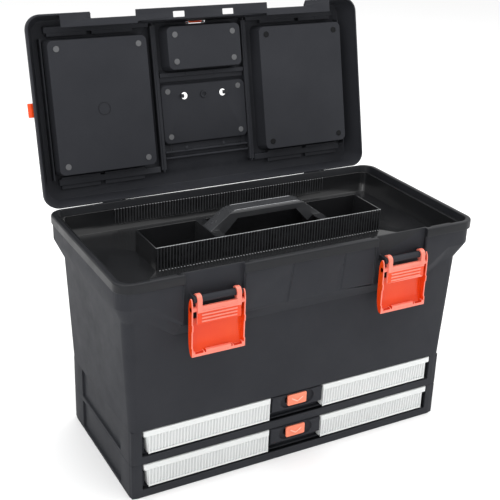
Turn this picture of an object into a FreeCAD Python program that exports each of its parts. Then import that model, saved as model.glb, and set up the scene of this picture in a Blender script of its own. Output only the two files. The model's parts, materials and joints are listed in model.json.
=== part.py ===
import FreeCAD, Part
import math
import os

# Carpenter toolbox: a deep tub on two stacked drawer frames, a lift-out tray and a hinged organizer lid.
# Millimetres. +Z is up, the front faces -Y, the origin is at the middle of the base.
# The lid is modelled closed and then swung open about its hinge, because it stands open at rest.

# Drawer frames
BASE_W = 558.0
BASE_D = 253.0
FRAME_H = 58.0
FRAME_WALL = 3.0
POST_W = 18.0
SILL_H = 13.0
BASE_RADIUS = 11.0

# Tub
TUB_Z = 2 * FRAME_H
FLARE_Z = 297.0
BAND_Z = 326.0
RIM_Z = 352.0
TOP_Z = 366.0
RIM_W = 608.0
RIM_D = 304.0
RIM_RADIUS = 24.0
TUB_WALL = 3.0
FLOOR = 4.0
FRONT_LOW = -132.5
FRONT_HIGH = -RIM_D / 2 + 4.0
BACK_HIGH = RIM_D / 2 - 2.0
PANEL_Y = -144.5

# Latches
LATCH_X = 160.0
RECESS_HALF = 46.0
BAR_Y = -158.5
BAR_Z = 330.0
BAR_R = 5.0
HOOK_X = 30.5
HOOK_W = 7.0
LEVER_HALF = 41.0
LEVER_BOTTOM = 244.0
LEVER_TOP = 332.0
LEVER_BACK = BAR_Y + 6.0
LEVER_FRONT = BAR_Y - 7.5
PIVOT_Y = -160.0
PIVOT_Z = 316.0
PIN_R = 1.8

# Lid, in its closed position
HINGE_Y = 157.0
HINGE_Z = 358.0
HINGE_PIN_R = 2.4
LID_OPEN_DEG = 102.6
LID_Z = TOP_Z + 0.4
LID_TOP = 409.0
LID_WALL = 3.0
WEB_Z = 402.5
POCKET_Z = 373.0
RECESS_Z = 392.5
CLIP_Y = -4.0
LID_W = 602.0
LID_FRONT = -149.0
LID_BACK = 153.0
NOTCH_X = 158.0
NOTCH_HALF = 38.0
CLIP_PIN_X = 281.0
FRONT_PIN_Y = -124.5
COVER_T = 2.6
COVER_SEAT = LID_TOP - 3.2
COVER_AXIS_X = 102.0
COVER_AXIS_Z = LID_TOP - 2.5

# Tray
TRAY_FLOOR_Z = 320.0
TRAY_SEAT_Z = 353.0
TRAY_X = 288.0
TRAY_FRONT = -137.5
TRAY_BACK = 142.5
TRAY_WALL = 2.0
BOX_X = 200.0
BOX_FRONT = -35.0
BOX_BACK = 44.0
BOX_TOP = 358.0
HANDLE_TOP = 386.0

# Drawers
BIN_IN_X = 47.5
BIN_OUT_X = 252.0
BIN_LIP_X = 259.0
BIN_BACK = 86.0
BIN_WALL = 1.8
FACE_Y = -128.5
CARRIER_BACK = 104.0
BLOCK_HALF = 45.0

# Carry handle
HANDLE_Y = -3.0
HANDLE_AXIS_Z = 402.6
LEG_X = 62.0
CLIP_HOLE_X = 36.0

V = FreeCAD.Vector


def block(x0, x1, y0, y1, z0, z1):
    return Part.makeBox(x1 - x0, y1 - y0, z1 - z0, V(x0, y0, z0))


def rounded_wire(x0, x1, y0, y1, z, r):
    """A rectangle with rounded corners at height z."""
    k = r * (1 - math.sqrt(0.5))
    lines = [
        (V(x0 + r, y0, z), V(x1 - r, y0, z)),
        (V(x1, y0 + r, z), V(x1, y1 - r, z)),
        (V(x1 - r, y1, z), V(x0 + r, y1, z)),
        (V(x0, y1 - r, z), V(x0, y0 + r, z)),
    ]
    mids = [V(x1 - k, y0 + k, z), V(x1 - k, y1 - k, z), V(x0 + k, y1 - k, z), V(x0 + k, y0 + k, z)]
    edges = []
    for i in range(4):
        edges.append(Part.LineSegment(*lines[i]).toShape())
        edges.append(Part.Arc(lines[i][1], mids[i], lines[(i + 1) % 4][0]).toShape())
    return Part.Wire(edges)


def rounded_block(x0, x1, y0, y1, z0, z1, r):
    face = Part.Face(rounded_wire(x0, x1, y0, y1, z0, r))
    return face.extrude(V(0, 0, z1 - z0))


def stack(sections):
    """A solid through rounded rectangles (half width, front y, back y, z, radius), bottom to top."""
    parts = []
    for low, high in zip(sections, sections[1:]):
        wires = [rounded_wire(-s[0], s[0], s[1], s[2], s[3], s[4]) for s in (low, high)]
        parts.append(Part.makeLoft(wires, True, True))
    return fuse(parts)


def fuse(shapes):
    shape = shapes[0]
    if len(shapes) > 1:
        shape = shape.multiFuse(shapes[1:])
    return shape.removeSplitter()


def prism(points, axis, length):
    """A polygon, given as 3-D points, pushed along an axis."""
    wire = Part.makePolygon([V(*p) for p in points] + [V(*points[0])])
    return Part.Face(wire).extrude(V(*axis) * length)


def rod(start, axis, length, r):
    return Part.makeCylinder(r, length, V(*start), V(*axis))


def rod_x(x0, x1, y, z, r):
    return rod((x0, y, z), (1, 0, 0), x1 - x0, r)


def rod_y(y0, y1, x, z, r):
    return rod((x, y0, z), (0, 1, 0), y1 - y0, r)


def mirror_x(shape):
    return shape.mirror(V(0, 0, 0), V(1, 0, 0))


def open_lid(shape):
    turned = shape.copy()
    turned.rotate(V(0, HINGE_Y, HINGE_Z), V(1, 0, 0), -LID_OPEN_DEG)
    return turned


def save(name, shape):
    shape.exportStep("parts/" + name + ".step")


# ---------------------------------------------------------------- drawer frames


def screw_places():
    rear = BASE_D / 2 - 10.5
    front = -BASE_D / 2 + 11.0
    return [(s * x, y) for s in (-1, 1) for x, y in ((BASE_W / 2 - 9.0, rear), (BASE_W / 2 - 9.0, front))]


def drawer_frame(z0):
    """An open-topped frame: floor, three walls, front posts, a front sill and drawer runners."""
    half = BASE_W / 2
    depth = BASE_D / 2
    outer = rounded_block(-half, half, -depth, depth, z0, z0 + FRAME_H, BASE_RADIUS)
    inner_x = half - FRAME_WALL
    hollow = rounded_block(-inner_x, inner_x, -depth + FRAME_WALL, depth - FRAME_WALL,
                           z0 + FRAME_WALL, z0 + FRAME_H + 1, BASE_RADIUS - FRAME_WALL)
    frame = outer.cut(hollow)
    opening = half - POST_W
    mouth = block(-opening, opening, -depth - 1, -depth + 12, z0 + SILL_H, z0 + FRAME_H + 1)
    posts = [block(s * (half - POST_W / 2) - POST_W / 2 + 1, s * (half - POST_W / 2) + POST_W / 2 - 1,
                   -depth + 1, -depth + 22, z0 + 1, z0 + FRAME_H) for s in (-1, 1)]
    rear = [block(s * (half - 9) - 8, s * (half - 9) + 8, depth - 20, depth - 1, z0 + 1, z0 + FRAME_H)
            for s in (-1, 1)]
    runners = [block(s * 256 - 6, s * 256 + 6, -depth + 2, depth - 22, z0 + 1, z0 + SILL_H) for s in (-1, 1)]
    pads = [block(s * (half - 4.5) - 3.5, s * (half - 4.5) + 3.5, -87, 87, z0 + 1, z0 + FRAME_H - 1)
            for s in (-1, 1)]
    frame = frame.cut(mouth).multiFuse(posts + rear + runners + pads)
    frame = frame.cut(fuse([side_recess(s, z0) for s in (-1, 1)]))
    for x, y in screw_places():
        frame = frame.cut(rod((x, y, z0 - 1), (0, 0, 1), FRAME_H + 2, 2.1))
        frame = frame.cut(rod((x, y, z0 - 1), (0, 0, 1), 4.0, 4.4))
    return frame.removeSplitter()


def side_recess(side, z0):
    """The shallow rectangular panel sunk in each end of a drawer frame."""
    x = side * BASE_W / 2
    return block(min(x, x - side * 4), max(x, x - side * 4), -84, 84, z0 + 5, z0 + FRAME_H - 4)


def latch_keepers():
    """The tabs under the upper frame and the tub that the tongues of the drawer latches move behind."""
    return Part.makeCompound([block(11, 21, FACE_Y + 25.5, FACE_Y + 28.5, z - 10, z) for z in (FRAME_H, TUB_Z)])


def frame_screws():
    """Pan-head screws: tub to upper frame, and upper frame to lower frame."""
    screws = []
    for x, y in screw_places():
        head = rod((x, y, TUB_Z + FLOOR), (0, 0, 1), 2.4, 4.0)
        shank = rod((x, y, FRAME_H + 6.0), (0, 0, 1), TUB_Z + FLOOR - FRAME_H - 6.0 + 0.5, 2.0)
        screws.append(head.fuse(shank).removeSplitter())
        head = rod((x, y, FRAME_H + 0.2), (0, 0, 1), 2.4, 4.0)
        shank = rod((x, y, 8.0), (0, 0, 1), FRAME_H - 7.5, 2.0)
        screws.append(head.fuse(shank).removeSplitter())
    return Part.makeCompound(screws)


# ---------------------------------------------------------------- tub


def front_wedge(inset):
    """The forward-leaning panel between and around the latches, with its bevelled lower border."""
    low = [(-264, 300), (-214, 266), (214, 266), (264, 300), (264, 352), (-264, 352)]
    high = [(-256, 327), (-207, 291), (207, 291), (256, 327), (256, 352), (-256, 352)]
    wires = []
    for outline, y in ((low, FRONT_LOW), (high, FRONT_HIGH)):
        points = []
        for x, z in outline:
            side = 1 if x > 0 else -1
            up = inset if z < RIM_Z else 0
            points.append(V(x - side * inset, y + inset, z + up))
        wires.append(Part.makePolygon(points + [points[0]]))
    return Part.makeLoft(wires, True, True)


def tub_shell():
    half = BASE_W / 2
    outer = stack([
        (half + 0.5, -BASE_D / 2 - 1, BASE_D / 2 + 1, TUB_Z, BASE_RADIUS),
        (half + 10, FRONT_LOW, -FRONT_LOW, FLARE_Z, 16),
        (RIM_W / 2 - 2.5, FRONT_HIGH, BACK_HIGH, BAND_Z, RIM_RADIUS - 2),
        (RIM_W / 2 - 2, FRONT_HIGH, BACK_HIGH, RIM_Z, RIM_RADIUS - 1),
    ])
    rim = rounded_block(-RIM_W / 2, RIM_W / 2, -RIM_D / 2, RIM_D / 2, RIM_Z, TOP_Z, RIM_RADIUS)
    rim = rim.makeChamfer(1.5, [e for e in rim.Edges if e.BoundBox.ZMin > TOP_Z - 0.01])
    outer = outer.fuse([rim, front_wedge(0)])
    wall = TUB_WALL
    inner_x = TRAY_X + 7.5
    inner = stack([
        (half + 0.5 - wall, -BASE_D / 2 - 1 + wall, BASE_D / 2 + 1 - wall, TUB_Z + FLOOR, BASE_RADIUS - wall),
        (half + 10 - wall, FRONT_LOW + wall, -FRONT_LOW - wall, FLARE_Z, 13),
        (inner_x, FRONT_HIGH + wall, BACK_HIGH - wall, BAND_Z + 1, 19),
        (inner_x, FRONT_HIGH + wall, BACK_HIGH - wall, TOP_Z + 1, 19),
    ])
    return outer.cut(inner.fuse(front_wedge(wall)))


def tray_ledge():
    """The ring inside the tub that the tray's flange hangs on."""
    ring = rounded_block(-RIM_W / 2 + 4, RIM_W / 2 - 4, FRONT_HIGH + 2, BACK_HIGH - 2,
                         TRAY_SEAT_Z - 4, TRAY_SEAT_Z, 20)
    hole = rounded_block(-TRAY_X - 0.8, TRAY_X + 0.8, TRAY_FRONT - 0.8, TRAY_BACK + 0.8,
                         TRAY_SEAT_Z - 5, TRAY_SEAT_Z + 1, 14)
    return ring.cut(hole)


def latch_recess(x):
    return block(x - RECESS_HALF, x + RECESS_HALF, -RIM_D, PANEL_Y, 262, TOP_Z + 1)


def latch_backing(x):
    return block(x - RECESS_HALF - 3, x + RECESS_HALF + 3, PANEL_Y - 4, PANEL_Y + 3, 286, TOP_Z)


def latch_bar(x):
    """The round bar that a latch's hooks turn on, with its two ears."""
    reach = HOOK_X + HOOK_W / 2 + 4.0
    bar = rod_x(x - reach, x + reach, BAR_Y, BAR_Z, BAR_R)
    ears = []
    for side in (-1, 1):
        ear_x = x + side * (reach - 1.5)
        plate = block(ear_x - 1.5, ear_x + 1.5, BAR_Y, PANEL_Y + 1, BAR_Z - BAR_R, BAR_Z + BAR_R)
        ears.append(plate)
    return fuse([bar] + ears)


def crease(top_x, low_x):
    """A crease in the front panel, with a broad shallow flank to its left that opens out downwards."""
    wires = []
    for z, x, left, depth in ((RIM_Z, top_x, -3.0, 0.8), (276, low_x, -17.0, 2.3)):
        points = [V(x + left, -RIM_D, z), V(x + 0.6, -RIM_D, z), V(x + 0.6, FRONT_HIGH, z),
                  V(x, FRONT_HIGH + depth, z), V(x + left, FRONT_HIGH, z)]
        wires.append(Part.makePolygon(points + [points[0]]))
    return Part.makeLoft(wires, True, True)


def hinge_lug(x0, x1, arm_to_y):
    """A knuckle on the tub's back wall."""
    ring = rod_x(x0, x1, HINGE_Y, HINGE_Z, 5.6)
    arm = block(x0, x1, arm_to_y, HINGE_Y, HINGE_Z - 5.6, HINGE_Z + 1)
    return ring.fuse(arm)


def tub():
    body = tub_shell().fuse([tray_ledge()] + [latch_backing(s * LATCH_X) for s in (-1, 1)])
    body = body.cut(fuse([latch_recess(s * LATCH_X) for s in (-1, 1)]))
    body = body.cut(fuse([crease(-31, -41), crease(59, 52)]))
    lugs = []
    for s in (-1, 1):
        for x0 in (170, 202):
            lug = hinge_lug(x0, x0 + 8, BACK_HIGH - 2)
            lugs.append(lug if s > 0 else mirror_x(lug))
    bars = [latch_bar(s * LATCH_X) for s in (-1, 1)]
    body = body.fuse(lugs + bars)
    rim_notch = [block(s * 190 - 12.5, s * 190 + 12.5, 150.6, 154, HINGE_Z - 8, TOP_Z + 1) for s in (-1, 1)]
    bores = [rod_x(s * 190 - 22, s * 190 + 22, HINGE_Y, HINGE_Z, HINGE_PIN_R + 0.05) for s in (-1, 1)]
    holes = [rod((x, y, TUB_Z - 1), (0, 0, 1), FLOOR + 2, 2.1) for x, y in screw_places()]
    return body.cut(fuse(rim_notch + bores + holes)).removeSplitter()


def lid_hinge_pins():
    return Part.makeCompound([rod_x(s * 190 - 20.5, s * 190 + 20.5, HINGE_Y, HINGE_Z, HINGE_PIN_R)
                              for s in (-1, 1)])


# ---------------------------------------------------------------- latches


def latch_hook(x):
    """An open hook round the bar, running down into the ribbed plate."""
    ring = rod_x(x - HOOK_W / 2, x + HOOK_W / 2, BAR_Y, BAR_Z, BAR_R + 3.2)
    arm = block(x - HOOK_W / 2, x + HOOK_W / 2, BAR_Y - 8.2, BAR_Y + 0.5, PIVOT_Z - 4, BAR_Z)
    bore = rod_x(x - HOOK_W, x + HOOK_W, BAR_Y, BAR_Z, BAR_R + 0.08)
    gap = block(x - HOOK_W, x + HOOK_W, BAR_Y + 2.6, BAR_Y + 12, BAR_Z - 12, BAR_Z + 3.4)
    return ring.fuse(arm).cut(bore.fuse(gap))


def latch_link(x):
    plate = block(x - HOOK_X - HOOK_W / 2, x + HOOK_X + HOOK_W / 2, BAR_Y - 7.4, BAR_Y - 3.4, 294, 321)
    ribs = [block(x - HOOK_X + 3, x + HOOK_X - 3, BAR_Y - 8.2, BAR_Y - 7, z, z + 2.4)
            for z in (297.0, 302.0, 307.0, 312.0)]
    barrel = rod_x(x - HOOK_X - HOOK_W / 2, x + HOOK_X + HOOK_W / 2, PIVOT_Y, PIVOT_Z, 3.6)
    link = fuse([plate, barrel] + ribs + [latch_hook(x - HOOK_X), latch_hook(x + HOOK_X)])
    keep_clear = rod_x(x - 60, x + 60, BAR_Y, BAR_Z, BAR_R + 0.08)
    return link.cut(keep_clear.fuse(rod_x(x - 60, x + 60, PIVOT_Y, PIVOT_Z, PIN_R + 0.05))).removeSplitter()


def lever_curve():
    """The lever's outer back line as (y, z), straight above and curling forward at the free end."""
    steps = ((0, 56), (0, 40), (0.3, 28), (1.2, 18), (2.9, 10), (5.4, 4), (8.0, 0.5))
    return [(LEVER_BACK - forward, LEVER_BOTTOM + up) for forward, up in steps]


def lever_side(x, side):
    """A side flange with its stepped edge, rounded at the pivot end."""
    front = LEVER_FRONT
    outline = lever_curve()[::-1] + [
        (LEVER_BACK, LEVER_TOP - 6), (LEVER_BACK - 4, LEVER_TOP), (front + 7, LEVER_TOP), (front + 4, LEVER_TOP - 4),
        (front + 2, LEVER_TOP - 14), (front + 2, 294), (front, 293), (front, 284), (front + 2, 283),
        (front + 2, LEVER_BOTTOM + 13), (front, LEVER_BOTTOM + 12), (front, LEVER_BOTTOM)]
    x0 = x + side * LEVER_HALF - (2.2 if side > 0 else 0)
    return prism([(x0, y, z) for y, z in outline], (1, 0, 0), 2.2)


def latch_lever(x):
    """A curved back plate, two side flanges, and an end wall with two pockets."""
    outer = lever_curve()
    inner = [(y - 2.0, z + 0.8) for y, z in outer[1:]]
    profile = outer + inner[::-1] + [(LEVER_BACK - 2.0, outer[0][1])]
    plate = prism([(x - LEVER_HALF, y, z) for y, z in profile], (1, 0, 0), 2 * LEVER_HALF)
    end = block(x - LEVER_HALF, x + LEVER_HALF, LEVER_FRONT, LEVER_BACK - 6.2, LEVER_BOTTOM, LEVER_BOTTOM + 8)
    pockets = [block(x + s * 29 - 9, x + s * 29 + 9, LEVER_FRONT + 1.5, LEVER_BACK - 8, LEVER_BOTTOM + 2,
                     LEVER_BOTTOM + 9) for s in (-1, 1)]
    lever = fuse([plate, end, lever_side(x, -1), lever_side(x, 1)])
    lever = lever.cut(fuse(pockets))
    bosses = [rod_x(x + s * 38 - 4, x + s * 38 + 4, PIVOT_Y, PIVOT_Z, 4.0) for s in (-1, 1)]
    lever = lever.fuse(bosses)
    clear = block(x - LEVER_HALF + 6, x + LEVER_HALF - 6, BAR_Y - 9, LEVER_BACK - 2.2, 292, LEVER_TOP)
    lever = lever.cut(clear)
    return lever.cut(rod_x(x - 60, x + 60, PIVOT_Y, PIVOT_Z, PIN_R + 0.01)).removeSplitter()


def latch_pin(x):
    return rod_x(x - LEVER_HALF, x + LEVER_HALF, PIVOT_Y, PIVOT_Z, PIN_R)


# ---------------------------------------------------------------- tray


def tray_box():
    """The raised two-compartment box in the middle of the tray, with its arched handle."""
    box = block(-BOX_X, BOX_X, BOX_FRONT, BOX_BACK, TRAY_FLOOR_Z, BOX_TOP)
    rooms = [block(s * 149 - 49, s * 149 + 49, BOX_FRONT + 2, BOX_BACK - 2, TRAY_FLOOR_Z + 2, BOX_TOP + 1)
             for s in (-1, 1)]
    rooms.append(block(-97.5, 97.5, BOX_FRONT + 2, BOX_BACK - 2, TRAY_FLOOR_Z + 2, BOX_TOP - 2.5))
    rooms.append(block(-84, 84, BOX_FRONT + 2, BOX_BACK - 2, TRAY_FLOOR_Z + 2, BOX_TOP + 1))
    return box.cut(fuse(rooms)).fuse(tray_handle())


def tray_handle():
    """An arch with sloping legs, a flat grip and a hand window."""
    outline = [(-99, BOX_TOP - 1), (-98, BOX_TOP), (-66, HANDLE_TOP - 4), (-56, HANDLE_TOP),
               (56, HANDLE_TOP), (66, HANDLE_TOP - 4), (98, BOX_TOP), (99, BOX_TOP - 1)]
    foot = [(99, BOX_TOP - 9), (-99, BOX_TOP - 9)]
    arch = prism([(x, -9, z) for x, z in outline + foot], (0, 1, 0), 28)
    window = [(-76, BOX_TOP - 10), (-52, HANDLE_TOP - 13), (52, HANDLE_TOP - 13), (76, BOX_TOP - 10)]
    arch = arch.cut(prism([(x, -10, z) for x, z in window], (0, 1, 0), 30))
    long_edges = [e for e in arch.Edges if abs(e.BoundBox.YMax - e.BoundBox.YMin) < 0.01
                  and e.BoundBox.ZMax > HANDLE_TOP - 1 and e.BoundBox.XMax - e.BoundBox.XMin > 50]
    return arch.makeFillet(5.0, long_edges)


def tote_tray():
    floor = TRAY_FLOOR_Z
    outer = stack([(TRAY_X - 4, TRAY_FRONT + 3, TRAY_BACK - 5, floor, 12),
                   (TRAY_X, TRAY_FRONT, TRAY_BACK, floor + 16, 13),
                   (TRAY_X, TRAY_FRONT, TRAY_BACK, TRAY_SEAT_Z + 3, 13)])
    flange = rounded_block(-TRAY_X - 5, TRAY_X + 5, TRAY_FRONT - 2.8, TRAY_BACK + 2.5,
                           TRAY_SEAT_Z + 0.2, TRAY_SEAT_Z + 3, 14)
    wall = TRAY_WALL
    inner = stack([(TRAY_X - 4 - wall, TRAY_FRONT + 3 + wall, TRAY_BACK - 5 - wall, floor + wall, 10),
                   (TRAY_X - wall, TRAY_FRONT + wall, TRAY_BACK - wall, floor + 16, 11),
                   (TRAY_X - wall, TRAY_FRONT + wall, TRAY_BACK - wall, TRAY_SEAT_Z + 4, 11)])
    return outer.fuse(flange).cut(inner).fuse(tray_box()).removeSplitter()


# ---------------------------------------------------------------- drawers


def drawer_bin(side, z0):
    """A tapered open bin with a deeper lip round its top."""
    low = z0 + 17.0
    lip = z0 + 48.0
    top = z0 + 57.0
    wall = BIN_WALL
    lower = rounded_wire(BIN_IN_X + 1, BIN_OUT_X, FACE_Y + 4, BIN_BACK - 3, low, 3)
    upper = rounded_wire(BIN_IN_X, BIN_OUT_X + 3, FACE_Y + 2, BIN_BACK, lip + 1, 3)
    body = Part.makeLoft([lower, upper], True, True)
    collar = rounded_block(BIN_IN_X, BIN_LIP_X, FACE_Y, BIN_BACK + 2, lip, top, 3)
    low_in = rounded_wire(BIN_IN_X + 1 + wall, BIN_OUT_X - wall, FACE_Y + 4 + wall, BIN_BACK - 3 - wall,
                          low + wall, 2)
    up_in = rounded_wire(BIN_IN_X + wall, BIN_OUT_X + 3 - wall, FACE_Y + 2 + wall, BIN_BACK - wall,
                         lip + 1, 2)
    hollow = Part.makeLoft([low_in, up_in], True, True)
    mouth = rounded_block(BIN_IN_X + wall, BIN_OUT_X + 3 - wall, FACE_Y + 2 + wall, BIN_BACK - wall,
                          lip + 0.9, top + 1, 2)
    shape = body.fuse(collar).cut(hollow.fuse(mouth)).removeSplitter()
    return shape if side > 0 else mirror_x(shape)


def drawer_carrier(z0):
    """The sliding floor that holds two bins, with the latch block in the middle of its front."""
    low = z0 + SILL_H + 0.8
    floor = block(-258, 258, FACE_Y + 9, CARRIER_BACK, low, low + 2.2)
    sides = [block(s * 256.8 - 1.2, s * 256.8 + 1.2, FACE_Y + 9, CARRIER_BACK, low, z0 + 40)
             for s in (-1, 1)]
    back = block(-258, 258, CARRIER_BACK - 2.2, CARRIER_BACK, low, z0 + 40)
    profile = [(FACE_Y + 17, low), (FACE_Y + 5, z0 + 28), (FACE_Y, z0 + 31), (FACE_Y, z0 + 57),
               (FACE_Y + 34, z0 + 57), (FACE_Y + 34, low)]
    front = prism([(-BLOCK_HALF, y, z) for y, z in profile], (1, 0, 0), 2 * BLOCK_HALF)
    inside = block(-BLOCK_HALF + 3, BLOCK_HALF - 3, FACE_Y + 19.5, FACE_Y + 40, z0 + 30, z0 + 60)
    scoop = rod_y(FACE_Y - 1, FACE_Y + 4, 0, z0 + 44.5, 12)
    oval = fuse([scoop.translated(V(-18, 0, 0)), scoop.translated(V(18, 0, 0)),
                 block(-18, 18, FACE_Y - 1, FACE_Y + 4, z0 + 32.5, z0 + 56.5)])
    slot = block(-20, 20, FACE_Y, FACE_Y + 30, z0 + 40, z0 + 49)
    spine = [block(s * 43.8 - 1.2, s * 43.8 + 1.2, FACE_Y + 30, CARRIER_BACK, low, z0 + 30) for s in (-1, 1)]
    carrier = fuse([floor, back, front] + sides + spine)
    return carrier.cut(fuse([inside, oval, slot])).removeSplitter()


def drawer_latch(z0):
    """A thumb slide in the oval recess, with a stem through the block and a tongue behind it."""
    plate = rounded_plate(-17, 17, z0 + 35.0, z0 + 54.0, FACE_Y + 0.4, FACE_Y + 3.6, 2.5)
    ridge = prism([(-10, FACE_Y - 0.3, z0 + 46), (0, FACE_Y - 0.3, z0 + 40), (10, FACE_Y - 0.3, z0 + 46),
                   (10, FACE_Y - 0.3, z0 + 48), (0, FACE_Y - 0.3, z0 + 42), (-10, FACE_Y - 0.3, z0 + 48)],
                  (0, 1, 0), 1.5)
    stem = block(-7, 7, FACE_Y + 3, FACE_Y + 31.5, z0 + 41, z0 + 48)
    tongue = block(-8, 8, FACE_Y + 29, FACE_Y + 32, z0 + 41, z0 + 54)
    return fuse([plate, ridge, stem, tongue])


def rounded_plate(x0, x1, z0, z1, y0, y1, r):
    """A plate facing -Y with rounded corners."""
    plate = rounded_block(x0, x1, z0, z1, 0, y1 - y0, r)
    plate.rotate(V(0, 0, 0), V(1, 0, 0), 90)
    return plate.translated(V(0, y1, 0))


# ---------------------------------------------------------------- lid


def lid_sections(inset, low, high):
    """Sections of the lid, whose sides draw in towards its top, set in from the outside by inset."""
    sections = []
    for z, side, end, r in ((LID_Z, 0, 0, 24), (LID_Z + 8, 0, 0, 24), (386, 6, 2, 23), (396, 11, 4, 22),
                            (LID_TOP - 4, 15.5, 6, 22), (LID_TOP, 18.5, 9, 20)):
        if z <= high:
            sections.append((LID_W / 2 - side - inset, LID_FRONT + end + inset, LID_BACK - end - inset, z, r - inset))
    sections[0] = (*sections[0][:3], low, sections[0][4])
    return sections


def lid_outer():
    return stack(lid_sections(0, LID_Z, LID_TOP))


def lid_inner():
    inside = lid_sections(LID_WALL, LID_Z - 1, 396)
    return stack(inside + [(LID_W / 2 - 14 - LID_WALL, LID_FRONT + 9, LID_BACK - 9, WEB_Z, 18)])


def pocket_body(x0, x1, y0, y1, z0):
    """The underside of an organizer pocket, standing down from the lid's web."""
    low = rounded_wire(x0, x1, y0, y1, z0, 9)
    high = rounded_wire(x0 - 3, x1 + 3, y0 - 3, y1 + 3, WEB_Z + 1, 11)
    return Part.makeLoft([low, high], True, True)


def pocket_room(x0, x1, y0, y1, z0):
    low = rounded_wire(x0 + 2.5, x1 - 2.5, y0 + 2.5, y1 - 2.5, z0 + 2.5, 7)
    high = rounded_wire(x0 + 0.5, x1 - 0.5, y0 + 0.5, y1 - 0.5, LID_TOP + 1, 8)
    return Part.makeLoft([low, high], True, True)


def cover_seats():
    """The sunk seats that the three covers lie in, with troughs for their hinge barrels."""
    side = rounded_block(COVER_AXIS_X + 3, 310, -121, 115, COVER_SEAT, LID_TOP + 1, 3)
    trough = block(COVER_AXIS_X - 3, COVER_AXIS_X + 5, -121, 115, COVER_AXIS_Z - 3.2, LID_TOP + 1)
    front = rounded_block(-74, 74, -150, -43, COVER_SEAT, LID_TOP + 1, 3)
    front_trough = block(-74, 74, -46, -37, COVER_AXIS_Z - 3.2, LID_TOP + 1)
    return fuse([side, trough, mirror_x(side), mirror_x(trough), front, front_trough])


def cover_pin_bores(extra):
    """The orange pins at the ends of each cover's hinge line."""
    rods = []
    for s in (-1, 1):
        rods.append(rod_y(-128, -108, s * COVER_AXIS_X, COVER_AXIS_Z, 1.2 + extra))
        rods.append(rod_y(102, 122, s * COVER_AXIS_X, COVER_AXIS_Z, 1.2 + extra))
        rods.append(rod_x(s * 71 - 10, s * 71 + 10, -41.5, COVER_AXIS_Z, 1.2 + extra))
    return rods


def lid_knuckle(x0, x1):
    """A lug that reaches from the lid's back wall down to the hinge pin."""
    ring = rod_x(x0, x1, HINGE_Y, HINGE_Z, 5.6)
    arm = block(x0, x1, HINGE_Y - 3.2, HINGE_Y + 5.6, HINGE_Z, LID_Z + 12)
    root = block(x0, x1, LID_BACK - 2, HINGE_Y + 5.6, LID_Z, LID_Z + 12)
    return fuse([ring, arm, root])


def web_ribs():
    """Steps and stiffening ribs on the underside of the lid."""
    low = WEB_Z + 1
    ribs = [block(-78, 78, 88, 91, low - 10, low), block(-78, 78, 98, 101, low - 10, low)]
    ribs.append(block(-78, 78, -43, -36, low - 12, low))
    ribs.append(block(-78, 78, -36, -28, low - 7, low))
    for s in (-1, 1):
        ribs.append(block(s * 84 - 1.5, s * 84 + 1.5, -126, 122, low - 12, low))
        for y in (-125, 116):
            ribs.append(block(s * 178 - 88, s * 178 + 88, y - 5, y + 5, low - 10, low))
    return ribs


def lid():
    shell = lid_outer().cut(lid_inner()).cut(fuse(front_cuts()))
    pockets = [(104, 269, -108, 103), (-269, -104, -108, 103), (-67, 67, -118, -48)]
    bodies = [pocket_body(*p, POCKET_Z) for p in pockets] + [pocket_body(-78, 78, -22, 75, RECESS_Z)]
    shell = shell.fuse(bodies + web_ribs() + front_walls() + [lid_knuckle(179, 201), lid_knuckle(-201, -179)])
    cuts = [pocket_room(*p, POCKET_Z) for p in pockets] + [pocket_room(-78, 78, -22, 75, RECESS_Z)]
    cuts.append(cover_seats())
    for s in (-1, 1):
        cuts.append(rod((s * CLIP_HOLE_X, HANDLE_Y, RECESS_Z - 1), (0, 0, 1), 5, 6))
        cuts.append(rod_x(s * 190 - 15, s * 190 + 15, HINGE_Y, HINGE_Z, HINGE_PIN_R + 0.05))
        clip_x = s * (CLIP_PIN_X + 8)
        cuts.append(block(clip_x - 14.6, clip_x + 14.6, CLIP_Y - 13.6, CLIP_Y + 13.6, LID_TOP - 6, LID_TOP + 1))
    cuts.append(block(-15, 15, LID_FRONT - 1, FRONT_PIN_Y - 4.9, LID_TOP - 22, LID_TOP + 1))
    cuts.append(block(-18, 18, LID_FRONT - 1, FRONT_PIN_Y + 3.5, LID_TOP - 8, LID_TOP + 1))
    cuts.extend(cover_pin_bores(0.02))
    return shell.cut(fuse(cuts)).removeSplitter()


def leaning_wall(x0, x1, low, high, thick):
    """A wall across the lid's front that leans back from low to high."""
    top = LID_TOP - 0.3
    outline = [(low, LID_Z), (low + thick, LID_Z), (high + thick, top), (high, top)]
    return prism([(x0, y, z) for y, z in outline], (1, 0, 0), x1 - x0)


def front_walls():
    """The lid's set-back front: a middle wall behind a slotted flange, and one behind each latch notch."""
    walls = [leaning_wall(-121, 121, -132.5, -128, 3)]
    flange = block(-120, 120, LID_FRONT, -129.8, LID_Z, LID_Z + 3.5)
    slots = [block(s * 45 - 10.5, s * 45 + 10.5, -142.5, -133, LID_Z - 1, LID_Z + 5) for s in (-1, 1)]
    walls.append(flange.cut(fuse(slots)))
    for s in (-1, 1):
        walls.append(leaning_wall(s * 170 - 52, s * 170 + 52, -137.5, -130.5, 3))
        walls.append(leaning_wall(s * 119 - 2, s * 119 + 2, -137.5, -130.5, 5.5))
        walls.append(block(s * NOTCH_X - 40, s * NOTCH_X + 40, -138.9, -127, LID_Z, LID_Z + 3))
        walls.append(block(s * 221 - 25, s * 221 + 25, -147, -127, LID_Z, LID_Z + 3))
    return walls


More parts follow.
